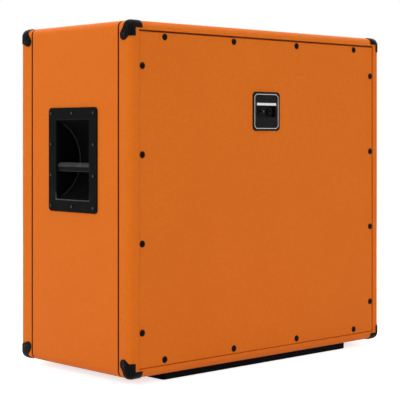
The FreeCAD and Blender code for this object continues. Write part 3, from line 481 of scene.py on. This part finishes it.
def lumps(node):
    """Lowest and highest corner of each separate solid in a node, in a steady order."""
    bm = merged_copy(node)
    found = []
    left = set(bm.verts)
    while left:
        stack = [left.pop()]
        group = []
        while stack:
            vert = stack.pop()
            group.append(vert.co.copy())
            for edge in vert.link_edges:
                other = edge.other_vert(vert)
                if other in left:
                    left.remove(other)
                    stack.append(other)
        low = Vector([min(c[i] for c in group) for i in range(3)])
        high = Vector([max(c[i] for c in group) for i in range(3)])
        found.append((low, high))
    bm.free()
    return sorted(found, key=lambda b: tuple(round(v, 5) for v in (b[0] + b[1])))


def spun_profile(points, steps=24):
    """Closed shape spun about Z from (radius, height) points."""
    bm = bmesh.new()
    verts = [bm.verts.new((r, 0, h)) for r, h in points]
    edges = [bm.edges.new(pair) for pair in zip(verts, verts[1:])]
    bmesh.ops.spin(
        bm,
        geom=verts + edges,
        cent=(0, 0, 0),
        axis=(0, 0, 1),
        angle=2 * math.pi,
        steps=steps,
        use_merge=True,
    )
    bmesh.ops.remove_doubles(bm, verts=bm.verts, dist=0.001 * MM)
    bmesh.ops.recalc_face_normals(bm, faces=bm.faces)
    return bm


def cross_recess(reach, width, top, depth, taper=0.55):
    """Tapered cross-shaped plug that a driver bit's recess leaves."""
    half = width / 2
    arm = [(reach, -half), (reach, half), (half, half)]
    outline = []
    for turn in range(4):
        quarter = Matrix.Rotation(turn * math.pi / 2, 2)
        outline += [quarter @ Vector(p) for p in arm]
    bm = bmesh.new()
    face = bm.faces.new([bm.verts.new((p.x, p.y, top)) for p in outline])
    made = bmesh.ops.extrude_face_region(bm, geom=[face])["geom"]
    floor = [v for v in made if isinstance(v, bmesh.types.BMVert)]
    bmesh.ops.translate(bm, verts=floor, vec=(0, 0, -depth))
    bmesh.ops.scale(bm, verts=floor, vec=(taper, taper, 1))
    bmesh.ops.recalc_face_normals(bm, faces=bm.faces)
    return bm


def carved(body_bm, cutter_bm):
    """Mesh of one bmesh with another cut out of it."""
    objs = []
    for bm in (body_bm, cutter_bm):
        mesh = bpy.data.meshes.new("carving")
        bm.to_mesh(mesh)
        bm.free()
        obj = bpy.data.objects.new("carving", mesh)
        bpy.context.scene.collection.objects.link(obj)
        objs.append(obj)
    cut = objs[0].modifiers.new("recess", "BOOLEAN")
    cut.operation = "DIFFERENCE"
    cut.solver = "EXACT"
    cut.object = objs[1]
    bpy.context.view_layer.update()
    depsgraph = bpy.context.evaluated_depsgraph_get()
    result = bpy.data.meshes.new_from_object(objs[0].evaluated_get(depsgraph))
    for obj in objs:
        spare = obj.data
        bpy.data.objects.remove(obj)
        bpy.data.meshes.remove(spare)
    return result


def dome_points(radius, base, crest, count=5):
    """Rounded line from a rim up to the crest on the axis."""
    angles = [i * math.pi / 2 / count for i in range(count)]
    line = [(radius * math.cos(a), base + (crest - base) * math.sin(a)) for a in angles]
    return line + [(0.0, crest)]


def point_line(shank_r, tip, blunt=0.3, taper=1.6):
    """Blunt tip of a screw up to its full shank, as shares of the shank's radius."""
    return [(0.0, tip), (shank_r * blunt, tip), (shank_r, tip + shank_r * taper)]


def screw_mesh(head_r, head_h, shank_r, shank_l, rim):
    """Domed cross-head screw with the underside of its head at zero."""
    underside, reach, width, mouth, depth = 0.96, 0.56, 0.22, 1.2, 0.95
    outline = point_line(shank_r, -shank_l)
    outline += [(shank_r, 0.0), (head_r * underside, 0.0)] + dome_points(head_r, rim, head_h)
    cutter = cross_recess(head_r * reach, head_r * width, head_h * mouth, head_h * depth)
    return carved(spun_profile(outline), cutter)


def oval_screw_mesh(sink_r, sink_h, shank_r, seat, rise, shank_l):
    """Raised countersunk screw whose cone sits in a cup washer."""
    reach, width, mouth, depth = 0.52, 0.22, 1.2, 1.9
    outline = point_line(shank_r, seat - shank_l)
    outline += [(shank_r, seat - sink_h), (sink_r, seat)]
    outline += dome_points(sink_r, seat, seat + rise)[1:]
    cutter = cross_recess(sink_r * reach, sink_r * width, seat + rise * mouth, rise * depth)
    return carved(spun_profile(outline), cutter)


def facing(low, high, middle):
    """Axis that a screw's head looks along: its long side, away from the cabinet's middle."""
    size = high - low
    axis = max(range(3), key=lambda i: size[i])
    out = Vector((0, 0, 0))
    out[axis] = 1 if (low + high)[axis] / 2 > middle[axis] else -1
    return axis, out


def crown(head_r, share=0.55):
    """Test for the middle of a screw's head, where drivers and hands wear the blacking off."""
    return lambda spot, local: local.z > 0 and local.xy.length < share * head_r


def middle_screw(spot, local, reach=10 * MM):
    """Test for the jack plate's middle screw, which is bare all over."""
    return abs(spot.x) < reach


def scatter(name, node, template, head_h, seed, bare=None):
    """A screw at each lump of a node, its head flush with the lump's and its cross turned at random."""
    draw = random.Random(seed)
    low_all, high_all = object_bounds()
    middle = (low_all + high_all) / 2
    bm = bmesh.new()
    for low, high in lumps(node):
        axis, out = facing(low, high, middle)
        spot = (low + high) / 2
        spot[axis] = (high if out[axis] > 0 else low)[axis] - out[axis] * head_h
        turn = out.to_track_quat("Z", "Y").to_matrix().to_4x4()
        twist = Matrix.Rotation(draw.uniform(0, math.pi), 4, "Z")
        start, first_face = len(bm.verts), len(bm.faces)
        bm.from_mesh(template)
        bm.verts.ensure_lookup_table()
        bm.faces.ensure_lookup_table()
        bmesh.ops.transform(bm, matrix=Matrix.Translation(spot) @ turn @ twist, verts=bm.verts[start:])
        for face, pattern in zip(bm.faces[first_face:], template.polygons):
            face.material_index = 1 if bare and bare(spot, pattern.center) else 0
    bpy.data.meshes.remove(template)
    obj = piece(name, bm, "black_steel", smooth_angle=40.0, stands_for=(node,))
    if bare:
        obj.data.materials.append(FINISH["screw_steel"])
    return obj


# Screws with driver recesses
PAN = dict(head_r=4.2 * MM, head_h=2.2 * MM, shank_r=2.0 * MM, shank_l=17 * MM, rim=0.66 * MM)
SMALL = dict(head_r=2.8 * MM, head_h=0.8 * MM, shank_r=1.5 * MM, shank_l=13 * MM, rim=0.24 * MM)
OVAL = dict(
    sink_r=4.5 * MM, sink_h=2.45 * MM, shank_r=2.2 * MM, seat=1.6 * MM, rise=1.0 * MM, shank_l=34 * MM
)
for name, node, form, seed, bare in (
    ("handle_cross_screws", "handle_screws", PAN, 11, crown(PAN["head_r"])),
    ("skid_cross_screws", "skid_screws", PAN, 13, None),
    ("cap_cross_screws", "corner_cap_screws", SMALL, 12, crown(SMALL["head_r"])),
    ("plate_cross_screws", "jack_plate_screws", SMALL, 14, middle_screw),
):
    scatter(name, node, screw_mesh(**form), form["head_h"], seed, bare)
scatter("panel_cross_screws", "rear_panel_screws", oval_screw_mesh(**OVAL), OVAL["seat"] + OVAL["rise"], 15)


# Corner caps with their legs drawn to length and their outer edges eased
def share_of(value, whole):
    """A value as a share of a whole, kept between zero and one."""
    return min(max(value / whole, 0), 1)


def reskinned(bm, covering, move):
    """Move a set of caps' points, with their side legs' flat faces taken off before and filled in after."""
    low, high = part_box(covering)
    middle = (low.z + high.z) / 2
    outer = max(v.co.x for v in bm.verts)
    screws = [(a + b) / 2 for a, b in lumps("corner_cap_screws")]
    facing_side = 0.99

    def on_skin(vert):
        return min(abs(abs(vert.co.x) - level) for level in (high.x, outer)) < TOUCH

    skin = [f for f in bm.faces if all(on_skin(v) for v in f.verts) and abs(f.normal.x) > facing_side]
    bmesh.ops.delete(bm, geom=skin, context="FACES")
    for vert in bm.verts:
        if min((vert.co - screw).yz.length for screw in screws) >= HOLE_KEEP:
            down = (high.z - low.z) / 2 - abs(vert.co.z - middle)
            move(vert.co, down, math.copysign(1, vert.co.z - middle))
    rims = {}
    for edge in bm.edges:
        if edge.is_boundary:
            at = edge.verts[0].co
            outside = abs(at.x) > (high.x + outer) / 2
            rims.setdefault((at.x > 0, at.z > middle, outside), []).append(edge)
    for (right, _, outside), rim in rims.items():
        outward = 1 if right == outside else -1
        bmesh.ops.triangle_fill(bm, edges=rim, use_beauty=True, normal=(outward, 0, 0))


def reach_back(bm):
    """Lengthen the front caps' legs behind the edge rounding, so that their lobes end beside the seam."""
    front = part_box("covering_front")[0].y

    def move(co, down, upward):
        inward = co.y - front
        if inward > EDGE_ROUND + PAST_ROUND:
            side = share_of(down, EDGE_ROUND)
            co.y += FRONT_CAP_TOP + (FRONT_CAP_SIDE - FRONT_CAP_TOP) * side
            if down < EDGE_ROUND + PAST_ROUND:
                co.y -= FRONT_WAIST_IN * math.sin(FRONT_WAIST_WAVE * math.pi * side)
        else:
            spare = down - HEEL_DOWN - max(inward - HEEL_IN, 0) * HEEL_FALL
            co.z += upward * max(spare, 0)

    reskinned(bm, "covering_front", move)


def waist(bm):
    """Draw in the front edge of the rear caps' side legs above the lobe, and lengthen the lobe."""
    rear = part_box("covering_rear")[1].y

    def move(co, down, upward):
        if rear - co.y > LEG_FROM and down < EDGE_ROUND + PAST_ROUND:
            co.y += WAIST_IN * share_of(down, WAIST_DOWN)
        co.z -= upward * LOBE_LONGER * share_of(down - LOBE_FROM, LOBE_EASE)

    reskinned(bm, "covering_rear", move)


def eased_caps(name, node, shaped, width=0.7 * MM, edge_degrees=40, flat_degrees=0.4):
    """A node's caps, reshaped, with their convex edges rounded over."""
    bm = merged_copy(node)
    shaped(bm)
    flat = math.radians(flat_degrees)
    bmesh.ops.dissolve_limit(bm, angle_limit=flat, verts=bm.verts, edges=bm.edges, delimit={"NORMAL"})
    bend = math.radians(edge_degrees)
    sharp = [e for e in bm.edges if e.is_convex and e.calc_face_angle(0.0) > bend]
    bmesh.ops.bevel(
        bm,
        geom=sharp,
        offset=width,
        offset_type="OFFSET",
        segments=3,
        profile=0.5,
        affect="EDGES",
        clamp_overlap=True,
        material=-1,
    )
    bmesh.ops.recalc_face_normals(bm, faces=bm.faces)
    return piece(name, bm, "cap_plastic", smooth_angle=50.0, stands_for=(node,))


eased_caps("caps_rear", "corner_caps_rear", waist)
eased_caps("caps_front", "corner_caps_front", reach_back)


# Rear panel's covering
def snug_panel(side_reach, bottom_reach, edge):
    """The panel's covering, drawn out until its sides and its bottom nearly meet the box."""
    node = "rear_panel_covering"
    low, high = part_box(node)
    bm = merged_copy(node)
    for vert in bm.verts:
        if abs(vert.co.x) > high.x - edge:
            vert.co.x += math.copysign(side_reach, vert.co.x)
        if vert.co.z < low.z + edge:
            vert.co.z -= bottom_reach
    return piece("rear_panel_vinyl", bm, "orange_vinyl", smooth_angle=1.0, stands_for=(node,))


snug_panel(side_reach=1.2 * MM, bottom_reach=0.4 * MM, edge=2.6 * MM)


# Handle grips
def grip(side):
    """Bar of a handle: a flat face with a well rounded top and back."""
    node = "handle_bar_" + side
    low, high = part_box(node)
    low.z -= GRIP_DROP
    high.z -= GRIP_TOP_DROP
    middle, size = (low + high) / 2, high - low
    outward = 1 if middle.x > 0 else -1
    bm = bmesh.new()
    bmesh.ops.create_cube(bm, size=1.0)
    bmesh.ops.scale(bm, verts=bm.verts, vec=size)
    bmesh.ops.translate(bm, verts=bm.verts, vec=middle)
    for up, out, radius in (
        (1, 1, GRIP_ROUND),
        (1, -1, GRIP_ROUND),
        (-1, 1, GRIP_EASE),
        (-1, -1, GRIP_ROUND),
    ):
        corner = Vector(((high if out * outward > 0 else low).x, 0, (high if up > 0 else low).z))
        ridge = [e for e in bm.edges if all((v.co - corner).xz.length < TOUCH for v in e.verts)]
        bmesh.ops.bevel(
            bm,
            geom=ridge,
            offset=radius,
            offset_type="OFFSET",
            segments=8,
            profile=0.5,
            affect="EDGES",
            material=-1,
        )
    bmesh.ops.recalc_face_normals(bm, faces=bm.faces)
    return piece("handle_grip_" + side, bm, "handle_bar", smooth_angle=40.0, stands_for=(node,))


for side in ("right", "left"):
    grip(side)


# Border line and blank write-on strip on the jack plate
def printed(name, bm, finish):
    """Thicken a flat shape that lies on the jack plate's face, and bed half of it in the plate."""
    face_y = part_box("jack_plate")[1].y
    bmesh.ops.solidify(bm, geom=bm.faces[:], thickness=PRINT_THICK)
    lowest = min(v.co.y for v in bm.verts)
    bmesh.ops.translate(bm, verts=bm.verts, vec=(0, face_y - PRINT_THICK / 2 - lowest, 0))
    bmesh.ops.recalc_face_normals(bm, faces=bm.faces)
    return piece(name, bm, "piping", finish=finish)


def plate_border(inset, corner, line):
    """Line round the plate's face, with its corners cut off."""
    low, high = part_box("jack_plate")
    x, z = (high.x - low.x) / 2 - inset, (high.z - low.z) / 2 - inset
    mid_z = (high.z + low.z) / 2
    corners = [(x, z - corner), (x - corner, z), (corner - x, z), (-x, z - corner)]
    corners += [(-a, -b) for a, b in corners]
    bm = bmesh.new()
    face = bm.faces.new([bm.verts.new((a, high.y, mid_z + b)) for a, b in corners])
    bm.normal_update()
    if face.normal.y < 0:
        bmesh.ops.reverse_faces(bm, faces=[face])
    bmesh.ops.inset_region(bm, faces=[face], thickness=line, use_boundary=True, use_even_offset=True)
    bmesh.ops.delete(bm, geom=[face], context="FACES_ONLY")
    return printed("plate_border", bm, "white_print")


def plate_strip(width, height, rise):
    """Plain pale strip above the plate's middle."""
    low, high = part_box("jack_plate")
    bm = bmesh.new()
    bmesh.ops.create_grid(bm, x_segments=1, y_segments=1, size=0.5)
    bmesh.ops.scale(bm, verts=bm.verts, vec=(width, height, 1))
    bmesh.ops.rotate(bm, verts=bm.verts, cent=(0, 0, 0), matrix=Matrix.Rotation(-math.pi / 2, 3, "X"))
    bmesh.ops.translate(bm, verts=bm.verts, vec=(0, high.y, (low.z + high.z) / 2 + rise))
    return printed("plate_strip", bm, "blank_strip")


plate_border(inset=4.6 * MM, corner=6.0 * MM, line=1.3 * MM)
plate_strip(width=60 * MM, height=5.4 * MM, rise=15.7 * MM)


# Driver surrounds: the outer roll stays on the frame and the inner one travels with the cone, and a sleeve on
# each keeps the joint between them closed over the whole travel
def roll_points(start, end, rest, height, count=8):
    """Half-wave in (radius, depth) points from one radius to another, standing off its rest depth."""
    shares = [i / count for i in range(count + 1)]
    return [(start + (end - start) * s, rest + height * math.sin(math.pi * s)) for s in shares]


def surround_ring(outline, centre, steps=96):
    """Ring spun from a closed (radius, depth) outline about a driver's axis."""
    bm = spun_profile(outline + outline[:1], steps)
    bmesh.ops.rotate(bm, verts=bm.verts, cent=(0, 0, 0), matrix=Matrix.Rotation(-math.pi / 2, 3, "X"))
    bmesh.ops.translate(bm, verts=bm.verts, vec=(centre.x, 0, centre.z))
    return bm


def split_surrounds(thick, flat, cone_gap, sleeve, slit):
    """Four inner rings that ride on the cones, and one piece of four outer rings on the cabinet."""
    low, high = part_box("driver_surrounds")
    height = (high.y - low.y - thick) / 2
    front = low.y + height
    end = front + sleeve
    outer_rings = bmesh.new()
    for number in (1, 2, 3, 4):
        cone_low, cone_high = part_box(f"driver_{number}_cone")
        centre = (cone_low + cone_high) / 2
        inner = (cone_high.x - cone_low.x) / 2 + cone_gap
        outer = high.x - abs(centre.x)
        rim = outer - flat
        split = (inner + rim) / 2

        joint = split - slit
        crest = roll_points(inner, joint, front, -height)
        under = [(r, y + thick) for r, y in reversed(crest) if r < joint - thick]
        ring = surround_ring(crest + [(joint, end), (joint - thick, end)] + under, centre)
        piece(f"surround_inner_{number}", ring, "surround", body=f"cone_{number}")

        joint = split + slit
        valley = roll_points(joint, rim, front, height)
        under = [(r, y + thick) for r, y in reversed(valley) if r > joint + thick]
        glued = [(outer, front), (outer, front + thick)]
        ring = surround_ring(valley + glued + under + [(joint + thick, end), (joint, end)], centre)
        spare = bpy.data.meshes.new("ring")
        ring.to_mesh(spare)
        ring.free()
        outer_rings.from_mesh(spare)
        bpy.data.meshes.remove(spare)
    return piece("surround_outer", outer_rings, "surround", stands_for=("driver_surrounds",))


split_surrounds(thick=1.0 * MM, flat=4.15 * MM, cone_gap=0.35 * MM, sleeve=5.2 * MM, slit=0.12 * MM)


# Grille cloth
def stretched_grille(fold, give, bar, half_thick):
    """Cloth stretched over its frame's bars, its edges turned back round the frame's sides."""
    low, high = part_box("grille_cloth")
    half_x, half_z = high.x, (high.z - low.z) / 2
    middle = (high.z + low.z) / 2
    bm = bmesh.new()
    bmesh.ops.create_grid(bm, x_segments=72, y_segments=68, size=1.0)
    bmesh.ops.scale(bm, verts=bm.verts, vec=(half_x, half_z, 1))
    bmesh.ops.rotate(bm, verts=bm.verts, cent=(0, 0, 0), matrix=Matrix.Rotation(math.pi / 2, 3, "X"))
    bmesh.ops.translate(bm, verts=bm.verts, vec=(0, low.y + half_thick, middle))
    for vert in bm.verts:
        across = abs(vert.co.x) / (half_x - bar)
        up = abs(vert.co.z - middle) / (half_z - bar)
        if across < 1 and up < 1:
            vert.co.y += give * math.sin(math.pi * across) * math.sin(math.pi * up)
    border = [e for e in bm.edges if e.is_boundary]
    turned = bmesh.ops.extrude_edge_only(bm, edges=border)["geom"]
    back = [v for v in turned if isinstance(v, bmesh.types.BMVert)]
    bmesh.ops.translate(bm, verts=back, vec=(0, fold, 0))
    bmesh.ops.recalc_face_normals(bm, faces=bm.faces)
    if max(bm.faces, key=lambda f: f.calc_area()).normal.y > 0:
        bmesh.ops.reverse_faces(bm, faces=bm.faces)
    cloth = piece("grille_weave_cloth", bm, "grille_cloth", smooth_angle=60.0, stands_for=("grille_cloth",))
    return cloth


stretched_grille(fold=12 * MM, give=0.4 * MM, bar=35 * MM, half_thick=0.25 * MM)

# Floor, backdrop light and camera
scene = bpy.context.scene
scene.view_settings.view_transform = "Standard"


def seen_directly(tree):
    """One for rays that show the backdrop as it is, and zero for rays that light the object."""
    path = add(tree, "ShaderNodeLightPath").outputs
    direct = larger(tree, path["Is Camera Ray"], path["Is Glossy Ray"])
    return larger(tree, direct, path["Is Transmission Ray"])


def studio_floor():
    """White floor that keeps the object's shadow."""
    bm = bmesh.new()
    bmesh.ops.create_grid(bm, x_segments=2, y_segments=2, size=FLOOR_HALF)
    bmesh.ops.translate(bm, verts=bm.verts, vec=(0, 0, -FLOOR_DROP))
    mesh = bpy.data.meshes.new("studio_floor")
    bm.to_mesh(mesh)
    bm.free()
    material = bpy.data.materials.new("floor_white")
    material.use_nodes = True
    tree = material.node_tree
    shader = tree.nodes["Principled BSDF"]
    shader.inputs["Base Color"].default_value = FLOOR_WHITE
    shader.inputs["Roughness"].default_value = FLOOR_ROUGHNESS
    shader.inputs["Specular IOR Level"].default_value = 0.0
    direct = seen_directly(tree)
    lift = add(tree, "ShaderNodeEmission", Color=WHITE, Strength=FLOOR_LIFT)
    both = add(tree, "ShaderNodeAddShader", _0=shader.outputs[0], _1=lift.outputs[0])
    mix = add(tree, "ShaderNodeMixShader", _0=direct, _1=shader.outputs[0], _2=both.outputs[0])
    tree.links.new(mix.outputs[0], tree.nodes["Material Output"].inputs["Surface"])
    mesh.materials.append(material)
    floor = bpy.data.objects.new("studio_floor", mesh)
    scene.collection.objects.link(floor)


def studio_world():
    """Soft light from all round, and a white backdrop where it is seen directly."""
    world = bpy.data.worlds.new("studio")
    scene.world = world
    world.use_nodes = True
    tree = world.node_tree
    direct = seen_directly(tree)
    soft = tree.nodes["Background"]
    soft.inputs["Color"].default_value = WHITE
    soft.inputs["Strength"].default_value = SKY_FILL
    shown = add(tree, "ShaderNodeBackground", Color=WHITE, Strength=1.0)
    mix = add(tree, "ShaderNodeMixShader", _0=direct, _1=soft.outputs[0], _2=shown.outputs[0])
    tree.links.new(mix.outputs[0], tree.nodes["World Output"].inputs["Surface"])


def softbox(name, place, target, size, power):
    """Rectangular lamp that looks at a target."""
    lamp = bpy.data.lights.new(name, "AREA")
    lamp.shape = "RECTANGLE"
    lamp.size, lamp.size_y = size
    lamp.energy = power
    obj = bpy.data.objects.new(name, lamp)
    obj.location = place
    obj.rotation_euler = (Vector(target) - Vector(place)).to_track_quat("-Z", "Y").to_euler()
    scene.collection.objects.link(obj)


studio_floor()
studio_world()
softbox("key_side", place=(3.4, -0.35, 2.2), target=(0.3, 0, 0.4), size=(2.2, 2.0), power=58)
softbox("fill_rear", place=(-0.5, 3.6, 2.0), target=(0, 0.2, 0.4), size=(2.4, 2.0), power=42)
softbox("overhead", place=(0.5, 0.4, 3.2), target=(0, 0, 0.3), size=(0.7, 2.6), power=44)
softbox("fill_front", place=(-0.5, -3.6, 1.9), target=(0, -0.2, 0.4), size=(2.4, 2.0), power=50)
softbox("fill_left", place=(-3.4, -0.7, 2.0), target=(-0.3, 0, 0.4), size=(2.2, 2.0), power=44)

camera = bpy.data.cameras.new("camera")
camera.lens = CAMERA_LENS
camera.sensor_width = CAMERA_SENSOR
camera.shift_x, camera.shift_y = CAMERA_SHIFT
camera.clip_end = CAMERA_FAR
camera_obj = bpy.data.objects.new("camera", camera)
camera_obj.location = CAMERA_AT
camera_obj.rotation_euler = (math.pi / 2, 0, math.radians(CAMERA_AZIMUTH))
scene.collection.objects.link(camera_obj)
scene.camera = camera_obj
